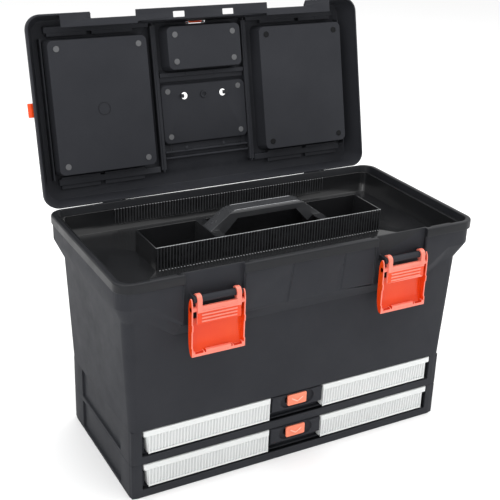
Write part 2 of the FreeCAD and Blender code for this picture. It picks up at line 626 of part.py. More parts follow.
def front_cuts():
    """What the set-back front removes from the lid's shell. The latch notches widen towards the top."""
    cuts = [block(-121, 121, LID_FRONT - 1, -127, LID_Z + 3.5, LID_TOP + 1)]
    for s in (-1, 1):
        near = s * (NOTCH_X - NOTCH_HALF)
        outline = [(near, LID_Z - 1), (s * (NOTCH_X + NOTCH_HALF), LID_Z - 1), (s * 218, LID_TOP + 1),
                   (near, LID_TOP + 1)]
        cuts.append(prism([(x, LID_FRONT - 1, z) for x, z in outline], (0, 1, 0), -129.5 - LID_FRONT + 1))
    return cuts


def side_cover():
    """A flat cover over a side pocket, with hinge barrels along its inner edge."""
    plate = rounded_block(COVER_AXIS_X + 4, CLIP_PIN_X - 3, -120, 114, COVER_SEAT + 0.3, LID_TOP - 0.2, 3)
    barrels = [rod_y(y0, y1, COVER_AXIS_X, COVER_AXIS_Z, 2.3) for y0, y1 in ((-120, -90), (84, 114))]
    webs = [block(COVER_AXIS_X, COVER_AXIS_X + 6, y0, y1, COVER_AXIS_Z, LID_TOP - 0.2)
            for y0, y1 in ((-120, -90), (84, 114))]
    cover = plate.fuse(barrels + webs)
    lugs = [block(CLIP_PIN_X - 6, CLIP_PIN_X + 2.5, CLIP_Y + s * 11 - 2, CLIP_Y + s * 11 + 2, LID_TOP - 5.2,
                  LID_TOP - 0.2) for s in (-1, 1)]
    cover = cover.fuse(lugs)
    bores = [rod_y(-130, -108, COVER_AXIS_X, COVER_AXIS_Z, 1.25), rod_y(102, 130, COVER_AXIS_X, COVER_AXIS_Z, 1.25)]
    bores.append(rod_y(-40, 40, CLIP_PIN_X, LID_TOP - 2.8, 1.05))
    return cover.cut(fuse(bores)).removeSplitter()


def front_cover():
    plate = rounded_block(-72.5, 72.5, FRONT_PIN_Y + 1, -46, COVER_SEAT + 0.3, LID_TOP - 0.2, 3)
    barrels = [rod_x(s * 57 - 15, s * 57 + 15, -41.5, COVER_AXIS_Z, 2.3) for s in (-1, 1)]
    webs = [block(s * 57 - 15, s * 57 + 15, -47, -41.5, COVER_AXIS_Z, LID_TOP - 0.2) for s in (-1, 1)]
    cover = plate.fuse(barrels + webs)
    slot = block(-13, 13, FRONT_PIN_Y - 5, FRONT_PIN_Y + 6.5, COVER_SEAT, LID_TOP + 1)
    bores = [rod_x(s * 71 - 10, s * 71 + 10, -41.5, COVER_AXIS_Z, 1.25) for s in (-1, 1)]
    return cover.cut(fuse([slot] + bores)).fuse(front_clip_lugs()).removeSplitter()


def front_clip_lugs():
    lugs = fuse([block(s * 14.5 - 2, s * 14.5 + 2, FRONT_PIN_Y - 3, FRONT_PIN_Y + 3.5, LID_TOP - 5.0, LID_TOP - 0.2)
                 for s in (-1, 1)])
    return lugs.cut(rod_x(-20, 20, FRONT_PIN_Y, LID_TOP - 2.8, 1.05))


def side_clip():
    """An orange clip hung on the cover's outer edge, lying over the lid's side wall."""
    y0 = CLIP_Y - 11
    y1 = CLIP_Y + 11
    edge = LID_W / 2 + 0.8
    inner = [(edge - 2.5, 378), (edge - 5.7, 386), (edge - 10.7, 396), (edge - 15.2, 405), (edge - 16.2, 408)]
    outer = [(edge - 12.8, 408), (edge - 11.9, 405), (edge - 7.4, 396), (edge - 3.2, 390), (edge + 2.6, 388.5),
             (edge + 5.0, 385.5), (edge + 5.2, 382), (edge + 3.6, 379.2), (edge + 0.8, 378)]
    finger = prism([(x, y0, z) for x, z in inner + outer], (0, 1, 0), y1 - y0)
    bridge = block(CLIP_PIN_X - 1, edge - 14, CLIP_Y - 8, CLIP_Y + 8, LID_TOP - 3.8, LID_TOP - 1.0)
    pin = rod_y(CLIP_Y - 13, CLIP_Y + 13, CLIP_PIN_X, LID_TOP - 2.8, 1.0)
    knuckle = rod_y(CLIP_Y - 8, CLIP_Y + 8, CLIP_PIN_X, LID_TOP - 2.8, 1.8)
    return fuse([finger, bridge, pin, knuckle])


def front_clip():
    finger = block(-11, 11, FRONT_PIN_Y - 8, FRONT_PIN_Y - 5, LID_TOP - 20, LID_TOP - 1.0)
    bridge = block(-11, 11, FRONT_PIN_Y - 6.5, FRONT_PIN_Y, LID_TOP - 3.8, LID_TOP - 1.0)
    knuckle = rod_x(-11, 11, FRONT_PIN_Y, LID_TOP - 2.8, 1.8)
    pin = rod_x(-16, 16, FRONT_PIN_Y, LID_TOP - 2.8, 1.0)
    return fuse([finger, bridge, knuckle, pin])


# ---------------------------------------------------------------- carry handle


def carry_handle():
    """A folding U handle lying in its recess, pivoted across the middle of the lid."""
    legs = [rounded_block(s * LEG_X - 5, s * LEG_X + 5, HANDLE_Y - 5, 66, 398, 407.2, 2) for s in (-1, 1)]
    grip = rounded_block(-LEG_X - 5, LEG_X + 5, 46, 68, 396.6, 408.2, 9)
    handle = fuse(legs + [grip])
    return handle.cut(rod_x(-80, 80, HANDLE_Y, HANDLE_AXIS_Z, 2.55)).removeSplitter()


def handle_brackets():
    """Two blocks clipped through round holes in the lid, each with a pin for one leg of the handle."""
    foot_x = CLIP_HOLE_X + 3.5
    foot = block(foot_x - 1.5, foot_x + 1.5, HANDLE_Y - 3, HANDLE_Y + 3, RECESS_Z - 4, RECESS_Z + 6)
    barb = block(foot_x - 1.5, foot_x + 4.5, HANDLE_Y - 3, HANDLE_Y + 3, RECESS_Z - 4, RECESS_Z - 0.3)
    arm = block(foot_x - 1.5, 56, HANDLE_Y - 3, HANDLE_Y + 3, RECESS_Z + 3, RECESS_Z + 6)
    head = block(48, 56, HANDLE_Y - 6.5, HANDLE_Y + 6.5, RECESS_Z + 3, 407.2)
    pin = rod_x(50, 70, HANDLE_Y, HANDLE_AXIS_Z, 2.5)
    bracket = fuse([foot, arm, barb, head, pin])
    return Part.makeCompound([bracket, mirror_x(bracket)])


# ---------------------------------------------------------------- every node


def main():
    os.makedirs("parts", exist_ok=True)
    for name, z0 in (("lower", 0.0), ("upper", FRAME_H)):
        save(name + "_drawer_frame", drawer_frame(z0))
        save(name + "_drawer_carrier", drawer_carrier(z0))
        save(name + "_left_bin", drawer_bin(-1, z0))
        save(name + "_right_bin", drawer_bin(1, z0))
        save(name + "_drawer_latch", drawer_latch(z0))
    save("tub", tub())
    save("frame_screws", frame_screws())
    save("latch_keepers", latch_keepers())
    save("lid_hinge_pins", lid_hinge_pins())
    for name, side in (("left", -1), ("right", 1)):
        x = side * LATCH_X
        save(name + "_latch_link", latch_link(x))
        save(name + "_latch_lever", latch_lever(x))
        save(name + "_latch_pin", latch_pin(x))
        cover = side_cover()
        clip = side_clip()
        save(name + "_organizer_cover", open_lid(cover if side > 0 else mirror_x(cover)))
        save(name + "_cover_clip", open_lid(clip if side > 0 else mirror_x(clip)))
    save("tote_tray", tote_tray())
    save("lid", open_lid(lid()))
    save("front_organizer_cover", open_lid(front_cover()))
    save("front_cover_clip", open_lid(front_clip()))
    save("cover_hinge_pins", open_lid(Part.makeCompound(cover_pin_bores(0.0))))
    save("carry_handle", open_lid(carry_handle()))
    save("handle_brackets", open_lid(handle_brackets()))


main()
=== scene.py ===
import json
import math
import bmesh
import bpy
from mathutils import Matrix, Vector


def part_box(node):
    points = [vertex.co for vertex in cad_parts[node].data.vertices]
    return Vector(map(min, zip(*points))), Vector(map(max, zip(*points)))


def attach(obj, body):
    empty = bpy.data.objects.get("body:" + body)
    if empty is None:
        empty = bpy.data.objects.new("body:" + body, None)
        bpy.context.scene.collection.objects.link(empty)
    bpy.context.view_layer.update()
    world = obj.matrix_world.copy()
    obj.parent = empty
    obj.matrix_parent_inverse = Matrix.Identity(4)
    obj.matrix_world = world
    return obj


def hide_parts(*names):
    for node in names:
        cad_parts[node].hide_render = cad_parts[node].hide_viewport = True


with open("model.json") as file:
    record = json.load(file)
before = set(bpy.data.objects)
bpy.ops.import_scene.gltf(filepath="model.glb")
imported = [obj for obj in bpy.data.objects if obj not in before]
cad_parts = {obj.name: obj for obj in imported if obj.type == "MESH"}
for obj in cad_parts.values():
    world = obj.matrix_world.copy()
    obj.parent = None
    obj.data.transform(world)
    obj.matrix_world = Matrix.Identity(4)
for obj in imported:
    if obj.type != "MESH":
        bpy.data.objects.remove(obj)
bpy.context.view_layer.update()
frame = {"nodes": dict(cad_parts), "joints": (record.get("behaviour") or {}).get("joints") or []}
MM = 0.001

joints = {j["name"]: j for j in frame["joints"]}
HINGE = Vector(joints["lid_hinge"]["pos_m"]) / MM
OPEN_DEG = -102.6
LID_OPEN = (Matrix.Translation(HINGE) @ Matrix.Rotation(math.radians(OPEN_DEG), 4, "X")
            @ Matrix.Translation(-HINGE))


# ---------------------------------------------------------------- materials


class Graph:
    """A material's node tree, built one node at a time."""

    def __init__(self, name):
        self.material = bpy.data.materials.new(name)
        self.material.use_nodes = True
        self.tree = self.material.node_tree
        self.tree.nodes.clear()
        self.out = self.add("ShaderNodeOutputMaterial")
        self.shader = self.add("ShaderNodeBsdfPrincipled")
        self.link(self.shader.outputs["BSDF"], self.out.inputs["Surface"])
        self.where = self.add("ShaderNodeTexCoord").outputs["Object"]

    def add(self, kind, **props):
        node = self.tree.nodes.new(kind)
        for key, value in props.items():
            setattr(node, key, value)
        return node

    def link(self, a, b):
        self.tree.links.new(a, b)

    def noise(self, scale, detail=4.0, rough=0.55, stretch=None):
        node = self.add("ShaderNodeTexNoise")
        node.inputs["Scale"].default_value = scale
        node.inputs["Detail"].default_value = detail
        node.inputs["Roughness"].default_value = rough
        source = self.where
        if stretch:
            mapping = self.add("ShaderNodeMapping")
            mapping.inputs["Scale"].default_value = stretch
            self.link(source, mapping.inputs["Vector"])
            source = mapping.outputs["Vector"]
        self.link(source, node.inputs["Vector"])
        return node.outputs["Fac"]

    def cells(self, scale):
        node = self.add("ShaderNodeTexVoronoi", feature="SMOOTH_F1")
        node.inputs["Scale"].default_value = scale
        node.inputs["Smoothness"].default_value = 0.7
        self.link(self.where, node.inputs["Vector"])
        return node.outputs["Distance"]

    def span(self, value, lo, hi, to_lo, to_hi):
        node = self.add("ShaderNodeMapRange")
        for key, number in (("From Min", lo), ("From Max", hi), ("To Min", to_lo), ("To Max", to_hi)):
            node.inputs[key].default_value = number
        self.link(value, node.inputs["Value"])
        return node.outputs["Result"]

    def maths(self, operation, a, b):
        node = self.add("ShaderNodeMath", operation=operation)
        for socket, value in zip(node.inputs, (a, b)):
            if isinstance(value, float):
                socket.default_value = value
            else:
                self.link(value, socket)
        return node.outputs["Value"]

    def ramp(self, value, stops):
        node = self.add("ShaderNodeValToRGB")
        band = node.color_ramp
        while len(band.elements) < len(stops):
            band.elements.new(0.5)
        for element, (place, colour) in zip(band.elements, stops):
            element.position = place
            element.color = (*colour, 1.0)
        self.link(value, node.inputs["Fac"])
        return node.outputs["Color"]

    def mix(self, factor, a, b):
        node = self.add("ShaderNodeMix", data_type="RGBA")
        self.link(factor, node.inputs["Factor"])
        for socket, value in ((node.inputs[6], a), (node.inputs[7], b)):
            if isinstance(value, tuple):
                socket.default_value = (*value, 1.0)
            else:
                self.link(value, socket)
        return node.outputs[2]

    def edges(self, radius):
        """How far a rounded edge's normal leans from the flat face: 0 on faces, towards 1 on sharp edges."""
        soft = self.add("ShaderNodeBevel", samples=6)
        soft.inputs["Radius"].default_value = radius
        flat = self.add("ShaderNodeNewGeometry")
        dot = self.add("ShaderNodeVectorMath", operation="DOT_PRODUCT")
        self.link(soft.outputs["Normal"], dot.inputs[0])
        self.link(flat.outputs["True Normal"], dot.inputs[1])
        return self.span(dot.outputs["Value"], 0.995, 0.8, 0.0, 1.0)

    def bump(self, height, strength, distance, base=None):
        node = self.add("ShaderNodeBump")
        node.inputs["Strength"].default_value = strength
        node.inputs["Distance"].default_value = distance
        self.link(height, node.inputs["Height"])
        if base is not None:
            self.link(base, node.inputs["Normal"])
        return node.outputs["Normal"]

    def feed(self, socket, value):
        self.link(value, self.shader.inputs[socket])

    def set(self, **values):
        for key, value in values.items():
            self.shader.inputs[key.replace("_", " ")].default_value = value


def moulded(name, dark, light, rough, grain, depth, worn, gloss):
    """Moulded plastic: slow colour drift, fine grain, scuffs in the gloss, and paler rubbed edges."""
    g = Graph(name)
    drift = g.noise(7.0, 5.0, 0.6)
    fleck = g.noise(grain * 0.7, 2.0, 0.5)
    tone = g.maths("ADD", g.maths("MULTIPLY", drift, 0.8), g.maths("MULTIPLY", fleck, 0.2))
    colour = g.ramp(tone, [(0.32, dark), (0.68, light)])
    scuffs = g.noise(26.0, 8.0, 0.62)
    if worn:
        rub = g.maths("MULTIPLY", g.edges(0.0012), g.span(g.noise(60.0, 6.0, 0.7), 0.42, 0.66, 0.0, 0.7))
        colour = g.mix(rub, colour, worn)
    g.feed("Base Color", colour)
    g.feed("Roughness", g.span(scuffs, 0.3, 0.7, *rough))
    grained = g.bump(g.cells(grain), 0.3, depth)
    waved = g.bump(g.noise(11.0, 2.0, 0.4), 0.2, 0.0004, grained)
    g.feed("Normal", waved)
    g.set(Specular_IOR_Level=gloss, IOR=1.5)
    return g.material


BODY = moulded(
    "anthracite_grained_plastic", dark=(0.0215, 0.0226, 0.0268), light=(0.0290, 0.0303, 0.0352),
    rough=(0.56, 0.68), grain=1500.0, depth=0.00007, worn=(0.048, 0.050, 0.056), gloss=0.10)
# A darker copy of the body plastic, painted on the rim band and inside the mouth as painted shade.
RIM_SHADED = moulded(
    "rim_plastic_painted_shade", dark=(0.0100, 0.0106, 0.0124), light=(0.0145, 0.0152, 0.0175),
    rough=(0.34, 0.46), grain=1700.0, depth=0.00004, worn=(0.044, 0.046, 0.050), gloss=0.18)
FRAMES = moulded(
    "anthracite_frame_plastic", dark=(0.0205, 0.0216, 0.0255), light=(0.0275, 0.0289, 0.0335),
    rough=(0.54, 0.66), grain=1350.0, depth=0.00007, worn=(0.048, 0.050, 0.056), gloss=0.12)
TRAY = moulded(
    "black_gloss_plastic", dark=(0.0085, 0.0088, 0.0095), light=(0.0130, 0.0134, 0.0144),
    rough=(0.12, 0.24), grain=2200.0, depth=0.00002, worn=(0.060, 0.062, 0.066), gloss=0.55)
# A pale copy of the black plastic: painted highlight on rib tops, beads and the handle's lips.
TRAY_HIGHLIGHT = moulded(
    "black_plastic_painted_highlight", dark=(0.230, 0.235, 0.242), light=(0.380, 0.385, 0.392),
    rough=(0.20, 0.34), grain=2200.0, depth=0.00003, worn=(0.45, 0.45, 0.455), gloss=0.6)
# A lighter copy of the black plastic: painted light on rib faces, also used on the handle.
TRAY_RIB = moulded(
    "lit_black_rib_plastic", dark=(0.026, 0.027, 0.029), light=(0.040, 0.041, 0.044),
    rough=(0.16, 0.28), grain=2200.0, depth=0.00003, worn=(0.090, 0.092, 0.096), gloss=0.6)
# A pale copy of the body plastic: painted highlight on ejector marks.
LIT_MARK = moulded(
    "mark_painted_highlight", dark=(0.070, 0.072, 0.076), light=(0.105, 0.107, 0.112),
    rough=(0.46, 0.62), grain=1500.0, depth=0.00005, worn=None, gloss=0.4)
# A near-black copy of the body plastic: painted shade on the right pocket's ejector marks.
SHADED_MARK = moulded(
    "mark_painted_shade", dark=(0.0045, 0.0048, 0.0055), light=(0.0080, 0.0084, 0.0095),
    rough=(0.46, 0.62), grain=1500.0, depth=0.00005, worn=None, gloss=0.1)
ORANGE = moulded(
    "orange_red_plastic", dark=(0.70, 0.036, 0.003), light=(0.80, 0.070, 0.006),
    rough=(0.16, 0.28), grain=1900.0, depth=0.00002, worn=(0.88, 0.17, 0.07), gloss=0.32)
# A deeper copy of the orange: painted shade in the lever lip's pockets.
ORANGE_POCKET_SHADE = moulded(
    "orange_painted_pocket_shade", dark=(0.52, 0.032, 0.010), light=(0.62, 0.048, 0.016),
    rough=(0.28, 0.40), grain=1900.0, depth=0.00003, worn=None, gloss=0.45)
ROSY = moulded(
    "rosy_orange_plastic", dark=(0.78, 0.165, 0.110), light=(0.85, 0.225, 0.160),
    rough=(0.24, 0.38), grain=1900.0, depth=0.00003, worn=(0.90, 0.38, 0.31), gloss=0.5)
SALMON = moulded(
    "salmon_plastic", dark=(0.80, 0.185, 0.095), light=(0.86, 0.245, 0.140),
    rough=(0.32, 0.45), grain=1900.0, depth=0.00003, worn=(0.92, 0.40, 0.29), gloss=0.42)
PALE_SALMON = moulded(
    "pale_salmon_plastic", dark=(0.90, 0.42, 0.30), light=(0.95, 0.50, 0.38),
    rough=(0.34, 0.48), grain=1900.0, depth=0.00003, worn=None, gloss=0.4)
MILKY = moulded(
    "milky_bin_plastic", dark=(0.640, 0.655, 0.650), light=(0.700, 0.716, 0.710),
    rough=(0.32, 0.45), grain=1600.0, depth=0.00003, worn=(0.66, 0.67, 0.665), gloss=0.42)
# A darker copy of the milky plastic: painted shade on the wall between the ribs.
MILKY_SHADE = moulded(
    "milky_bin_painted_valley_shade", dark=(0.570, 0.582, 0.580), light=(0.625, 0.637, 0.635),
    rough=(0.36, 0.50), grain=1600.0, depth=0.00003, worn=None, gloss=0.35)


def smoke_plastic():
    g = Graph("smoke_clear_plastic")
    tint = [(0.3, (0.10, 0.107, 0.115)), (0.7, (0.14, 0.148, 0.158))]
    g.feed("Base Color", g.ramp(g.noise(9.0, 3.0, 0.5), tint))
    g.feed("Roughness", g.span(g.noise(40.0, 8.0, 0.65, (6.0, 1.0, 1.0)), 0.35, 0.7, 0.05, 0.16))
    g.feed("Normal", g.bump(g.noise(22.0, 2.0, 0.5), 0.2, 0.0006))
    g.set(Transmission_Weight=0.82, IOR=1.49)
    return g.material


def zinc_steel():
    g = Graph("zinc_plated_steel")
    brushed = (0.1, 1.0, 1.0)
    zinc = [(0.3, (0.42, 0.42, 0.43)), (0.7, (0.62, 0.62, 0.61))]
    g.feed("Base Color", g.ramp(g.noise(70.0, 5.0, 0.6), zinc))
    g.feed("Roughness", g.span(g.noise(500.0, 3.0, 0.6, brushed), 0.3, 0.7, 0.22, 0.42))
    g.feed("Normal", g.bump(g.noise(700.0, 3.0, 0.6, brushed), 0.3, 0.00005))
    g.set(Metallic=1.0)
    return g.material


SMOKE = smoke_plastic()
STEEL = zinc_steel()


# ---------------------------------------------------------------- mesh building, in millimetres


SMOOTH_BELOW = math.radians(32)
ROUND_ABOVE = math.radians(28)
WELD_M = 2e-6
FLAT = math.radians(0.8)
PLAIN_CORNERS = 8


def faces(bm, rings):
    for corners in rings:
        bm.faces.new(corners)


def slab(bm, x0, x1, y0, y1, z0, z1):
    v = [bm.verts.new((x, y, z)) for z in (z0, z1) for y in (y0, y1) for x in (x0, x1)]
    faces(bm, [(v[0], v[2], v[3], v[1]), (v[4], v[5], v[7], v[6]), (v[0], v[1], v[5], v[4]),
               (v[2], v[6], v[7], v[3]), (v[0], v[4], v[6], v[2]), (v[1], v[3], v[7], v[5])])


def along(axis, a, b, c):
    """The point at c along an axis (0 x, 1 y, 2 z) and at a, b across it."""
    spot = [a, b]
    spot.insert(axis, c)
    return spot


def extrusion(bm, outline, axis, lo, hi):
    """A polygon in the plane across an axis, stretched from lo to hi along it."""
    low = [bm.verts.new(along(axis, a, b, lo)) for a, b in outline]
    high = [bm.verts.new(along(axis, a, b, hi)) for a, b in outline]
    faces(bm, [low[::-1], high])
    for i in range(len(outline)):
        k = (i + 1) % len(outline)
        faces(bm, [(low[i], low[k], high[k], high[i])])


def round_outline(a, b, r, n=24):
    turns = [2 * math.pi * i / n for i in range(n)]
    return [(a + r * math.cos(t), b + r * math.sin(t)) for t in turns]


def disc(bm, x, y, r, z0, z1):
    """A short cylinder that stands upright."""
    extrusion(bm, round_outline(x, y, r), 2, z0, z1)


def ring(bm, x, y, r0, r1, z0, z1, n=32):
    """A short tube that stands upright round a centre, between two radii."""
    loops = [[bm.verts.new((a, b, z)) for a, b in round_outline(x, y, r, n)]
             for r, z in ((r0, z0), (r1, z0), (r1, z1), (r0, z1))]
    for k in range(4):
        one, two = loops[k], loops[(k + 1) % 4]
        for i in range(n):
            faces(bm, [(one[i], one[(i + 1) % n], two[(i + 1) % n], two[i])])


def piece(bm, name, body, materials, bevel, replaces, paint=None):
    """Turns a mesh into a piece that rides on a body in place of nodes, with its edges rounded."""
    bmesh.ops.scale(bm, vec=(MM, MM, MM), verts=bm.verts)
    bmesh.ops.recalc_face_normals(bm, faces=bm.faces)
    mesh = bpy.data.meshes.new(name)
    if paint:
        for face in bm.faces:
            face.material_index = paint(face.calc_center_median() / MM, face.normal)
    for face in bm.faces:
        face.smooth = True
    bm.to_mesh(mesh)
    bm.free()
    mesh.set_sharp_from_angle(angle=SMOOTH_BELOW)
    for material in materials:
        mesh.materials.append(material)
    obj = bpy.data.objects.new(name, mesh)
    bpy.context.scene.collection.objects.link(obj)
    round_off = obj.modifiers.new("rounded_edges", "BEVEL")
    round_off.width = bevel * MM
    round_off.segments = 2
    round_off.limit_method = "ANGLE"
    round_off.angle_limit = ROUND_ABOVE
    round_off.use_clamp_overlap = False
    round_off.harden_normals = True
    round_off.loop_slide = False
    round_off.miter_outer = "MITER_ARC"
    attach(obj, body)
    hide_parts(*replaces)


def convex(face):
    """True when a face turns one way all round, so it can't have a hole or a notch in it."""
    corners = [v.co for v in face.verts]
    for i, corner in enumerate(corners):
        ahead = corners[(i + 1) % len(corners)] - corner
        if (corner - corners[i - 1]).cross(ahead).dot(face.normal) < -1e-10:
            return False
    return True


def from_node(node):
    """A node's shape as clean faces, in millimetres, to build a detailed piece on."""
    bm = bmesh.new()
    bm.from_mesh(frame["nodes"][node].data)
    bmesh.ops.remove_doubles(bm, verts=bm.verts, dist=WELD_M)
    bmesh.ops.dissolve_limit(bm, angle_limit=FLAT, verts=bm.verts, edges=bm.edges)
    notched = [f for f in bm.faces if len(f.verts) > PLAIN_CORNERS and not convex(f)]
    bmesh.ops.triangulate(bm, faces=notched)
    bmesh.ops.scale(bm, vec=(1 / MM, 1 / MM, 1 / MM), verts=bm.verts)
    return bm


def detailed(node, name, body, materials, bevel, add=None, closed=False, paint=None):
    """A node's shape with extra detail, which closed says is given for the lid as it lies shut."""
    bm = from_node(node)
    if add:
        if closed:
            bmesh.ops.transform(bm, matrix=LID_OPEN.inverted(), verts=bm.verts)
        add(bm)
        if closed:
            bmesh.ops.transform(bm, matrix=LID_OPEN, verts=bm.verts)
    piece(bm, name, body, materials, bevel, (node,), paint)


def edge_of(node):
    lo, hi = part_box(node)
    return Vector(lo) / MM, Vector(hi) / MM


# ---------------------------------------------------------------- case


TOP = 366.0
BAND = 352.5


def tub_detail(bm):
    """Raised bars along the top of the front rim, and steps beside the latches."""
    low, high = TOP - 0.8, TOP + 0.3
    bar = [(-149.6, low), (-142.8, low), (-143.2, high), (-149.2, high)]
    for x0, x1 in ((-255, -216), (-104, 104), (216, 255)):
        extrusion(bm, bar, 0, x0, x1)
    for side in (-1, 1):
        for x in (side * 160 - 47.5, side * 160 + 47.5):
            slab(bm, x - 0.9, x + 0.9, -149.3, -144.5, 296.0, 350.0)


def rim_shade_paint(centre, normal):
    """The rim band and everything inside the mouth are painted the darker plastic as painted shade."""
    inward = centre.x * normal.x + centre.y * normal.y < -20
    return 1 if centre.z > BAND or (inward and abs(normal.z) < 0.5) else 0


detailed("tub", "tub_body", "case", [BODY, RIM_SHADED], 0.9, tub_detail, paint=rim_shade_paint)
for level in ("upper", "lower"):
    detailed(level + "_drawer_frame", level + "_frame_body", "case", [FRAMES], 0.7)
detailed("latch_keepers", "latch_keeper_tabs", "case", [FRAMES], 0.4)
detailed("frame_screws", "pan_head_screws", "case", [STEEL], 0.3)
detailed("lid_hinge_pins", "hinge_rods", "case", [STEEL], 0.3)


# ---------------------------------------------------------------- latches


LEVER_BOX = edge_of("left_latch_lever")
PIN = Vector(joints["left_lever_pivot"]["pos_m"]) / MM
FLANGE = 2.3


def latch_lever(side):
    """A curved back plate between stepped side flanges, with a pocketed lip across its end."""
    lo, hi = edge_of(side + "_latch_lever")
    x0, x1, front, back, bottom, top = lo.x, hi.x, lo.y, hi.y, lo.z, hi.z
    bm = bmesh.new()
    curve = [(back, 299), (back, 284), (back - 0.3, 272), (back - 1.2, 262), (back - 2.9, 254),
             (back - 5.4, 248), (back - 8.0, bottom + 0.5)]
    inner = [(y - 2.0, z + 0.8) for y, z in curve[1:]]
    plate = curve + inner[::-1] + [(back - 2.0, 299)]
    extrusion(bm, plate, 0, x0 + 1, x1 - 1)
    ear = [(back, 318), (back - 1.4, 326), (back - 5, top), (front + 6, top), (front + 3.4, top - 4)]
    step = [(front + 2.0, top - 12), (front + 2.0, 294), (front + 0.4, 293), (front + 0.4, 284),
            (front + 2.0, 283), (front + 2.0, bottom + 14), (front, bottom + 13), (front, bottom)]
    flange = curve[::-1] + ear + step
    for near, far in ((x0, x0 + FLANGE), (x1 - FLANGE, x1)):
        extrusion(bm, flange, 0, near, far)
    middle = (x0 + x1) / 2
    slab(bm, x0 + 1, x1 - 1, front, back - 6.2, bottom, bottom + 4.6)
    slab(bm, middle - 20, middle + 20, front + 0.2, front + 5.2, bottom + 1, bottom + 8.4)
    for near in (middle - 24, middle + 22):
        slab(bm, near, near + 2, front + 0.2, back - 6.4, bottom + 1, bottom + 6.6)
    for near, far in ((x0 + 1, x0 + 5.4), (x1 - 5.4, x1 - 1)):
        slab(bm, near, far, front + 0.2, back - 6.4, bottom + 1, bottom + 7.6)
    for near, far in ((x0, x0 + 8.5), (x1 - 8.5, x1)):
        extrusion(bm, round_outline(PIN.y, PIN.z, 4.0), 0, near, far)

    def paint(centre, normal):
        inside = x0 + 3 < centre.x < x1 - 3 and centre.z < 300 and centre.y > front + 6
        # Painted shade: the floors of the lip's pockets take the deeper orange.
        if x0 + 5 < centre.x < x1 - 5 and centre.z < bottom + 5 and normal.z > 0.7:
            return 2
        # Painted highlight: faces that don't face sideways, outside the plate's inner part, take the paler
        # rose along the lever's edges.
        return 0 if inside or abs(normal.x) > 0.7 else 1
    piece(bm, side + "_lever_shell", side + "_lever", [ORANGE, ROSY, ORANGE_POCKET_SHADE], 0.55,
          (side + "_latch_lever",), paint)


def link_detail(side):
    """Taller ribs across the link's face."""
    middle = (LEVER_BOX[0].x + LEVER_BOX[1].x) / 2 * (1 if side == "left" else -1)

    def add(bm):
        face = edge_of(side + "_latch_link")[0].y
        for z in (297.0, 302.0, 307.0, 312.0):
            rib = [(face + 1.0, z - 0.2), (face + 0.1, z + 0.4), (face + 0.1, z + 2.0), (face + 1.0, z + 2.6)]
            extrusion(bm, rib, 0, middle - 27.5, middle + 27.5)
    return add


def groove_shade_paint(side):
    """Painted shade: the deeper orange between the ribs."""
    face = edge_of(side + "_latch_link")[0].y

    def paint(centre, normal):
        between = face + 0.4 < centre.y < face + 1.6 and 295 < centre.z < 316
        return 1 if normal.y < -0.7 and between else 0
    return paint


for side in ("left", "right"):
    latch_lever(side)
    detailed(side + "_latch_link", side + "_link_plate", side + "_link", [ROSY, ORANGE], 0.4,
             link_detail(side), paint=groove_shade_paint(side))
    detailed(side + "_latch_pin", side + "_pivot_pin", side + "_link", [STEEL], 0.3)


# ---------------------------------------------------------------- tray


BOX = dict(x=200.0, front=-35.0, floor=322.0, top=358.0)
FLANGE_TOP = 356.0
TRAY_BACK = edge_of("tote_tray")[1].y
RIB_PITCH = 5.0
WALL_BEADS = 77
BOX_BEADS = 79
GRIP_TOP = 386.0


def rib_row(bm, x0, x1, pitch, wall, depth, z0, z1):
    """Fine upright ribs along a wall that faces the front."""
    count = int((x1 - x0) / pitch)
    for i in range(count + 1):
        x = x0 + (x1 - x0) * i / count
        root, crest = wall + 0.4, wall - depth
        extrusion(bm, [(x - 1.5, root), (x - 0.8, crest), (x + 0.8, crest), (x + 1.5, root)], 2, z0, z1)


def tray_detail(bm):
    """Upright ribs on the middle box and the back wall, beads along the floor, and lips on the handle."""
    half, front, floor = BOX["x"], BOX["front"], BOX["floor"]
    rib_row(bm, -half + 2.5, half - 2.5, RIB_PITCH, front, 1.5, floor - 0.2, BOX["top"] + 0.5)
    rib_row(bm, -196.0, 196.0, RIB_PITCH, TRAY_BACK - 4.5, 1.4, floor + 8, FLANGE_TOP + 0.3)
    for i in range(WALL_BEADS):
        x = -190.0 + i * RIB_PITCH
        slab(bm, x - 1.1, x + 1.1, TRAY_BACK - 8.2, TRAY_BACK - 6.2, 329.0, 331.0)
    for i in range(BOX_BEADS):
        x = -half + (i + 1) * RIB_PITCH
        slab(bm, x - 1.1, x + 1.1, front - 4.4, front - 1.6, floor - 0.2, floor + 0.9)
    for y in (-7.0, 15.2):
        slab(bm, -54.0, 54.0, y, y + 1.8, GRIP_TOP - 5.0, GRIP_TOP)


def tray_paint(centre, normal):
    """Painted highlights: rib tops, the beads and the handle's lips are painted pale. Painted light: rib
    faces are painted a lighter black, and the handle takes that lighter black too.
    """
    front = BOX["front"]
    on_box = centre.z > BOX["top"] - 0.5 and centre.y < front + 3 and abs(centre.x) < BOX["x"]
    bead = centre.z < BOX["floor"] + 1.2 and front - 5 < centre.y < front - 1 and normal.z > 0.5
    on_wall = centre.z > FLANGE_TOP + 0.1 and centre.y > TRAY_BACK - 7 and abs(centre.x) < 198
    lips = abs(centre.z - GRIP_TOP) < 0.1 and abs(centre.y - 5.0) > 10.5
    # Painted highlight on rib tops, beads and lips.
    if bead or normal.z > 0.5 and (on_box or on_wall or lips):
        return 1
    # Painted light: rib faces take a lighter black; the handle is given that lighter black too.
    handle = centre.z > BOX["top"] + 1 and abs(centre.x) < 100
    box_rib = front - 1.6 < centre.y < front - 1.2
    wall_rib = TRAY_BACK - 6.1 < centre.y < TRAY_BACK - 5.6
    return 2 if handle or (normal.y < -0.9 and (box_rib or wall_rib)) else 0


detailed("tote_tray", "tray_shell", "tray", [TRAY, TRAY_HIGHLIGHT, TRAY_RIB], 0.4, tray_detail,
         paint=tray_paint)


